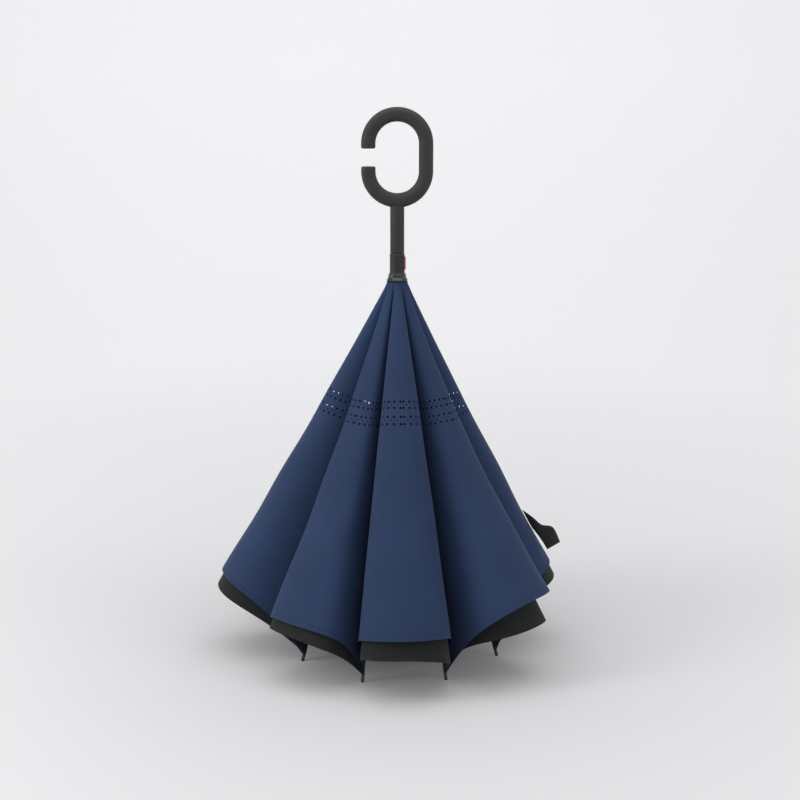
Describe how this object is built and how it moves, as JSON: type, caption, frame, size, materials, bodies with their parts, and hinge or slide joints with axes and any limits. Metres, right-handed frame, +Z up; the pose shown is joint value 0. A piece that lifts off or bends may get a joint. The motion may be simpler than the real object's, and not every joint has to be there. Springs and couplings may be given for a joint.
{
  "type": "inverted umbrella",
  "caption": "Reverse-folding umbrella, closed and standing on its rib tips, with a C-shaped hook handle, a sliding runner with a push button, and a double cloth canopy.",
  "frame": {"origin": "on the floor, at the bottom centre of the closed umbrella's box; the shaft's axis is 11 mm beside it, towards +X", "axes": "+Z up along the shaft to the handle, -Y towards the viewer of the picture, -X towards the handle's mouth"},
  "size_m": [0.5128, 0.4794, 0.8039],
  "materials": {
    "handle_hook": "moulded plastic with a matt soft-touch coat",
    "shaft_tube": "steel tube, dark satin lacquer",
    "notch_hub": "moulded black plastic",
    "notch_wire": "plain steel wire ring",
    "notch_cap": "black plastic, smooth",
    "runner_sleeve": "black plastic with fine grip ribs",
    "runner_crown_ring": "polished black plastic",
    "runner_wire": "plain steel wire ring",
    "button_spring": "spring steel strip",
    "canopy_collar": "navy blue woven polyester",
    "push_button": "crimson plastic, satin gloss",
    "tie_strap": "black woven webbing",
    "rib": "black lacquered steel",
    "rib_tip": "dark nickel plate",
    "strut": "black lacquered steel",
    "blue_panel": "navy blue woven polyester",
    "black_panel": "black woven polyester",
    "black_crown_panel": "black woven polyester"
  },
  "bodies": {
    "root": {"shaft_tube": "shaft_tube", "handle_hook": "handle_hook", "notch_hub": "notch_hub", "notch_wire": "notch_wire", "notch_cap": "notch_cap"},
    "runner": {"runner_sleeve": "runner_sleeve", "runner_crown_ring": "runner_crown_ring", "runner_wire": "runner_wire", "button_spring": "button_spring", "canopy_collar": "canopy_collar"},
    "button": {"push_button": "push_button"},
    "rib_1": {"rib_1": "rib", "rib_tip_1": "rib_tip"},
    "strut_1": {"strut_1": "strut"},
    "ridge_1": {"blue_panel_1": "blue_panel"},
    "web_1": {"black_panel_1": "black_panel"},
    "crown_1": {"black_crown_panel_1": "black_crown_panel"},
    "rib_2": {"rib_2": "rib", "rib_tip_2": "rib_tip"},
    "strut_2": {"strut_2": "strut"},
    "ridge_2": {"blue_panel_2": "blue_panel"},
    "web_2": {"black_panel_2": "black_panel"},
    "crown_2": {"black_crown_panel_2": "black_crown_panel"},
    "rib_3": {"rib_3": "rib", "rib_tip_3": "rib_tip"},
    "strut_3": {"strut_3": "strut"},
    "ridge_3": {"blue_panel_3": "blue_panel", "tie_strap": "tie_strap"},
    "web_3": {"black_panel_3": "black_panel"},
    "crown_3": {"black_crown_panel_3": "black_crown_panel"},
    "rib_4": {"rib_4": "rib", "rib_tip_4": "rib_tip"},
    "strut_4": {"strut_4": "strut"},
    "ridge_4": {"blue_panel_4": "blue_panel"},
    "web_4": {"black_panel_4": "black_panel"},
    "crown_4": {"black_crown_panel_4": "black_crown_panel"},
    "rib_5": {"rib_5": "rib", "rib_tip_5": "rib_tip"},
    "strut_5": {"strut_5": "strut"},
    "ridge_5": {"blue_panel_5": "blue_panel"},
    "web_5": {"black_panel_5": "black_panel"},
    "crown_5": {"black_crown_panel_5": "black_crown_panel"},
    "rib_6": {"rib_6": "rib", "rib_tip_6": "rib_tip"},
    "strut_6": {"strut_6": "strut"},
    "ridge_6": {"blue_panel_6": "blue_panel"},
    "web_6": {"black_panel_6": "black_panel"},
    "crown_6": {"black_crown_panel_6": "black_crown_panel"},
    "rib_7": {"rib_7": "rib", "rib_tip_7": "rib_tip"},
    "strut_7": {"strut_7": "strut"},
    "ridge_7": {"blue_panel_7": "blue_panel"},
    "web_7": {"black_panel_7": "black_panel"},
    "crown_7": {"black_crown_panel_7": "black_crown_panel"},
    "rib_8": {"rib_8": "rib", "rib_tip_8": "rib_tip"},
    "strut_8": {"strut_8": "strut"},
    "ridge_8": {"blue_panel_8": "blue_panel"},
    "web_8": {"black_panel_8": "black_panel"},
    "crown_8": {"black_crown_panel_8": "black_crown_panel"}
  },
  "joints": [
    {"name": "runner_slide", "type": "slide", "parent": "root", "child": "runner", "axis": [0, 0, -1], "range_m": [0, 0.43036], "deforming": ["canopy_collar"]},
    {"name": "button_press", "type": "slide", "parent": "runner", "child": "button", "axis": [-0.9781, 0.2079, 0], "range_m": [0, 0.0016], "stiffness_N_per_m": 1200, "deforming": ["button_spring"]},
    {"name": "rib_1_hinge", "type": "hinge", "parent": "runner", "child": "rib_1", "pos_m": [0.00719, -0.01138, 0.552], "axis": [-0.9483, 0.3173, 0], "range_deg": [0, 90.36]},
    {"name": "strut_1_hinge", "type": "hinge", "parent": "root", "child": "strut_1", "pos_m": [0.00719, -0.01138, 0.068], "axis": [0.9483, -0.3173, 0], "range_deg": [0, 49.91]},
    {"name": "ridge_1_fold", "type": "hinge", "parent": "rib_1", "child": "ridge_1", "pos_m": [0.01191, -0.01296, 0.552], "axis": [0.2273, -0.74, -0.633], "range_deg": [0, 32.02], "deforming": ["blue_panel_1"]},
    {"name": "web_1_fold", "type": "hinge", "parent": "ridge_1", "child": "web_1", "pos_m": [0.01191, -0.01296, 0.552], "axis": [-0.1221, -0.7645, -0.633], "range_deg": [0, 32.02], "deforming": ["black_panel_1"]},
    {"name": "crown_1_fold", "type": "hinge", "parent": "strut_1", "child": "crown_1", "pos_m": [0.01191, -0.01296, 0.068], "axis": [-0.0641, 0.9166, -0.3947], "range_deg": [0, 37.17], "deforming": ["black_crown_panel_1"]},
    {"name": "rib_2_hinge", "type": "hinge", "parent": "runner", "child": "rib_2", "pos_m": [0.01635, -0.01074, 0.552], "axis": [-0.8949, -0.4462, 0], "range_deg": [0, 90.36]},
    {"name": "strut_2_hinge", "type": "hinge", "parent": "root", "child": "strut_2", "pos_m": [0.01635, -0.01074, 0.068], "axis": [0.8949, 0.4462, 0], "range_deg": [0, 49.91]},
    {"name": "ridge_2_fold", "type": "hinge", "parent": "rib_2", "child": "ridge_2", "pos_m": [0.0208, -0.00852, 0.552], "axis": [0.7554, -0.2813, -0.5919], "range_deg": [0, 32.89], "deforming": ["blue_panel_2"]},
    {"name": "web_2_fold", "type": "hinge", "parent": "ridge_2", "child": "web_2", "pos_m": [0.0208, -0.00852, 0.552], "axis": [0.3837, -0.7089, -0.5919], "range_deg": [0, 32.89], "deforming": ["black_panel_2"]},
    {"name": "crown_2_fold", "type": "hinge", "parent": "strut_2", "child": "crown_2", "pos_m": [0.0208, -0.00852, 0.068], "axis": [-0.6934, 0.6028, -0.3947], "range_deg": [0, 37.17], "deforming": ["black_crown_panel_2"]},
    {"name": "rib_3_hinge", "type": "hinge", "parent": "runner", "child": "rib_3", "pos_m": [0.02238, -0.00381, 0.552], "axis": [-0.3173, -0.9483, 0], "range_deg": [0, 90.36]},
    {"name": "strut_3_hinge", "type": "hinge", "parent": "root", "child": "strut_3", "pos_m": [0.02238, -0.00381, 0.068], "axis": [0.3173, 0.9483, 0], "range_deg": [0, 49.91]},
    {"name": "ridge_3_fold", "type": "hinge", "parent": "rib_3", "child": "ridge_3", "pos_m": [0.02396, 0.00091, 0.552], "axis": [0.7392, 0.2554, -0.6232], "range_deg": [0, 32.2], "deforming": ["blue_panel_3", "tie_strap"]},
    {"name": "web_3_fold", "type": "hinge", "parent": "ridge_3", "child": "web_3", "pos_m": [0.02396, 0.00091, 0.552], "axis": [0.7675, -0.15, -0.6232], "range_deg": [0, 32.2], "deforming": ["black_panel_3"]},
    {"name": "crown_3_fold", "type": "hinge", "parent": "strut_3", "child": "crown_3", "pos_m": [0.02396, 0.00091, 0.068], "axis": [-0.9166, -0.0641, -0.3947], "range_deg": [0, 37.17], "deforming": ["black_crown_panel_3"]},
    {"name": "rib_4_hinge", "type": "hinge", "parent": "runner", "child": "rib_4", "pos_m": [0.02174, 0.00535, 0.552], "axis": [0.4462, -0.8949, 0], "range_deg": [0, 90.36]},
    {"name": "strut_4_hinge", "type": "hinge", "parent": "root", "child": "strut_4", "pos_m": [0.02174, 0.00535, 0.068], "axis": [-0.4462, 0.8949, 0], "range_deg": [0, 49.91]},
    {"name": "ridge_4_fold", "type": "hinge", "parent": "rib_4", "child": "ridge_4", "pos_m": [0.01952, 0.0098, 0.552], "axis": [0.353, 0.6931, -0.6285], "range_deg": [0, 32.1], "deforming": ["blue_panel_4"]},
    {"name": "web_4_fold", "type": "hinge", "parent": "ridge_4", "child": "web_4", "pos_m": [0.01952, 0.0098, 0.552], "axis": [0.6372, 0.4461, -0.6285], "range_deg": [0, 32.1], "deforming": ["black_panel_4"]},
    {"name": "crown_4_fold", "type": "hinge", "parent": "strut_4", "child": "crown_4", "pos_m": [0.01952, 0.0098, 0.068], "axis": [-0.6028, -0.6934, -0.3947], "range_deg": [0, 37.17], "deforming": ["black_crown_panel_4"]},
    {"name": "rib_5_hinge", "type": "hinge", "parent": "runner", "child": "rib_5", "pos_m": [0.01481, 0.01138, 0.552], "axis": [0.9483, -0.3173, 0], "range_deg": [0, 90.36]},
    {"name": "strut_5_hinge", "type": "hinge", "parent": "root", "child": "strut_5", "pos_m": [0.01481, 0.01138, 0.068], "axis": [-0.9483, 0.3173, 0], "range_deg": [0, 49.91]},
    {"name": "ridge_5_fold", "type": "hinge", "parent": "rib_5", "child": "ridge_5", "pos_m": [0.01009, 0.01296, 0.552], "axis": [-0.2176, 0.7402, -0.6362], "range_deg": [0, 31.96], "deforming": ["blue_panel_5"]},
    {"name": "web_5_fold", "type": "hinge", "parent": "ridge_5", "child": "web_5", "pos_m": [0.01009, 0.01296, 0.552], "axis": [0.1125, 0.7633, -0.6362], "range_deg": [0, 31.96], "deforming": ["black_panel_5"]},
    {"name": "crown_5_fold", "type": "hinge", "parent": "strut_5", "child": "crown_5", "pos_m": [0.01009, 0.01296, 0.068], "axis": [0.0641, -0.9166, -0.3947], "range_deg": [0, 37.17], "deforming": ["black_crown_panel_5"]},
    {"name": "rib_6_hinge", "type": "hinge", "parent": "runner", "child": "rib_6", "pos_m": [0.00565, 0.01074, 0.552], "axis": [0.8949, 0.4462, 0], "range_deg": [0, 90.36]},
    {"name": "strut_6_hinge", "type": "hinge", "parent": "root", "child": "strut_6", "pos_m": [0.00565, 0.01074, 0.068], "axis": [-0.8949, -0.4462, 0], "range_deg": [0, 49.91]},
    {"name": "ridge_6_fold", "type": "hinge", "parent": "rib_6", "child": "ridge_6", "pos_m": [0.0012, 0.00852, 0.552], "axis": [-0.7036, 0.3418, -0.6231], "range_deg": [0, 32.2], "deforming": ["blue_panel_6"]},
    {"name": "web_6_fold", "type": "hinge", "parent": "ridge_6", "child": "web_6", "pos_m": [0.0012, 0.00852, 0.552], "axis": [-0.4364, 0.6491, -0.6231], "range_deg": [0, 32.2], "deforming": ["black_panel_6"]},
    {"name": "crown_6_fold", "type": "hinge", "parent": "strut_6", "child": "crown_6", "pos_m": [0.0012, 0.00852, 0.068], "axis": [0.6934, -0.6028, -0.3947], "range_deg": [0, 37.17], "deforming": ["black_crown_panel_6"]},
    {"name": "rib_7_hinge", "type": "hinge", "parent": "runner", "child": "rib_7", "pos_m": [-0.00038, 0.00381, 0.552], "axis": [0.3173, 0.9483, 0], "range_deg": [0, 90.36]},
    {"name": "strut_7_hinge", "type": "hinge", "parent": "root", "child": "strut_7", "pos_m": [-0.00038, 0.00381, 0.068], "axis": [-0.3173, -0.9483, 0], "range_deg": [0, 49.91]},
    {"name": "ridge_7_fold", "type": "hinge", "parent": "rib_7", "child": "ridge_7", "pos_m": [-0.00196, -0.00091, 0.552], "axis": [-0.7338, -0.3278, -0.595], "range_deg": [0, 32.81], "deforming": ["blue_panel_7"]},
    {"name": "web_7_fold", "type": "hinge", "parent": "ridge_7", "child": "web_7", "pos_m": [-0.00196, -0.00091, 0.552], "axis": [-0.7723, 0.2225, -0.595], "range_deg": [0, 32.81], "deforming": ["black_panel_7"]},
    {"name": "crown_7_fold", "type": "hinge", "parent": "strut_7", "child": "crown_7", "pos_m": [-0.00196, -0.00091, 0.068], "axis": [0.9166, 0.0641, -0.3947], "range_deg": [0, 37.17], "deforming": ["black_crown_panel_7"]},
    {"name": "rib_8_hinge", "type": "hinge", "parent": "runner", "child": "rib_8", "pos_m": [0.00026, -0.00535, 0.552], "axis": [-0.4462, 0.8949, 0], "range_deg": [0, 90.36]},
    {"name": "strut_8_hinge", "type": "hinge", "parent": "root", "child": "strut_8", "pos_m": [0.00026, -0.00535, 0.068], "axis": [0.4462, -0.8949, 0], "range_deg": [0, 49.91]},
    {"name": "ridge_8_fold", "type": "hinge", "parent": "rib_8", "child": "ridge_8", "pos_m": [0.00248, -0.0098, 0.552], "axis": [-0.391, -0.6557, -0.6459], "range_deg": [0, 31.81], "deforming": ["blue_panel_8"]},
    {"name": "web_8_fold", "type": "hinge", "parent": "ridge_8", "child": "web_8", "pos_m": [0.00248, -0.0098, 0.552], "axis": [-0.5949, -0.4785, -0.6459], "range_deg": [0, 31.81], "deforming": ["black_panel_8"]},
    {"name": "crown_8_fold", "type": "hinge", "parent": "strut_8", "child": "crown_8", "pos_m": [0.00248, -0.0098, 0.068], "axis": [0.6028, 0.6934, -0.3947], "range_deg": [0, 37.17], "deforming": ["black_crown_panel_8"]}
  ],
  "couplings": [
    {"joint": "rib_1_hinge", "follows": "runner_slide", "rad_per_m": 3.6621},
    {"joint": "strut_1_hinge", "follows": "runner_slide", "rad_per_m": 2.0226},
    {"joint": "ridge_1_fold", "follows": "runner_slide", "rad_per_m": 1.2974},
    {"joint": "web_1_fold", "follows": "runner_slide", "rad_per_m": 1.2974},
    {"joint": "crown_1_fold", "follows": "runner_slide", "rad_per_m": 1.5062},
    {"joint": "rib_2_hinge", "follows": "runner_slide", "rad_per_m": 3.6621},
    {"joint": "strut_2_hinge", "follows": "runner_slide", "rad_per_m": 2.0226},
    {"joint": "ridge_2_fold", "follows": "runner_slide", "rad_per_m": 1.3329},
    {"joint": "web_2_fold", "follows": "runner_slide", "rad_per_m": 1.3329},
    {"joint": "crown_2_fold", "follows": "runner_slide", "rad_per_m": 1.5062},
    {"joint": "rib_3_hinge", "follows": "runner_slide", "rad_per_m": 3.6621},
    {"joint": "strut_3_hinge", "follows": "runner_slide", "rad_per_m": 2.0226},
    {"joint": "ridge_3_fold", "follows": "runner_slide", "rad_per_m": 1.3048},
    {"joint": "web_3_fold", "follows": "runner_slide", "rad_per_m": 1.3048},
    {"joint": "crown_3_fold", "follows": "runner_slide", "rad_per_m": 1.5062},
    {"joint": "rib_4_hinge", "follows": "runner_slide", "rad_per_m": 3.6621},
    {"joint": "strut_4_hinge", "follows": "runner_slide", "rad_per_m": 2.0226},
    {"joint": "ridge_4_fold", "follows": "runner_slide", "rad_per_m": 1.3007},
    {"joint": "web_4_fold", "follows": "runner_slide", "rad_per_m": 1.3007},
    {"joint": "crown_4_fold", "follows": "runner_slide", "rad_per_m": 1.5062},
    {"joint": "rib_5_hinge", "follows": "runner_slide", "rad_per_m": 3.6621},
    {"joint": "strut_5_hinge", "follows": "runner_slide", "rad_per_m": 2.0226},
    {"joint": "ridge_5_fold", "follows": "runner_slide", "rad_per_m": 1.2951},
    {"joint": "web_5_fold", "follows": "runner_slide", "rad_per_m": 1.2951},
    {"joint": "crown_5_fold", "follows": "runner_slide", "rad_per_m": 1.5062},
    {"joint": "rib_6_hinge", "follows": "runner_slide", "rad_per_m": 3.6621},
    {"joint": "strut_6_hinge", "follows": "runner_slide", "rad_per_m": 2.0226},
    {"joint": "ridge_6_fold", "follows": "runner_slide", "rad_per_m": 1.3049},
    {"joint": "web_6_fold", "follows": "runner_slide", "rad_per_m": 1.3049},
    {"joint": "crown_6_fold", "follows": "runner_slide", "rad_per_m": 1.5062},
    {"joint": "rib_7_hinge", "follows": "runner_slide", "rad_per_m": 3.6621},
    {"joint": "strut_7_hinge", "follows": "runner_slide", "rad_per_m": 2.0226},
    {"joint": "ridge_7_fold", "follows": "runner_slide", "rad_per_m": 1.3298},
    {"joint": "web_7_fold", "follows": "runner_slide", "rad_per_m": 1.3298},
    {"joint": "crown_7_fold", "follows": "runner_slide", "rad_per_m": 1.5062},
    {"joint": "rib_8_hinge", "follows": "runner_slide", "rad_per_m": 3.6621},
    {"joint": "strut_8_hinge", "follows": "runner_slide", "rad_per_m": 2.0226},
    {"joint": "ridge_8_fold", "follows": "runner_slide", "rad_per_m": 1.2889},
    {"joint": "web_8_fold", "follows": "runner_slide", "rad_per_m": 1.2889},
    {"joint": "crown_8_fold", "follows": "runner_slide", "rad_per_m": 1.5062}
  ]
}
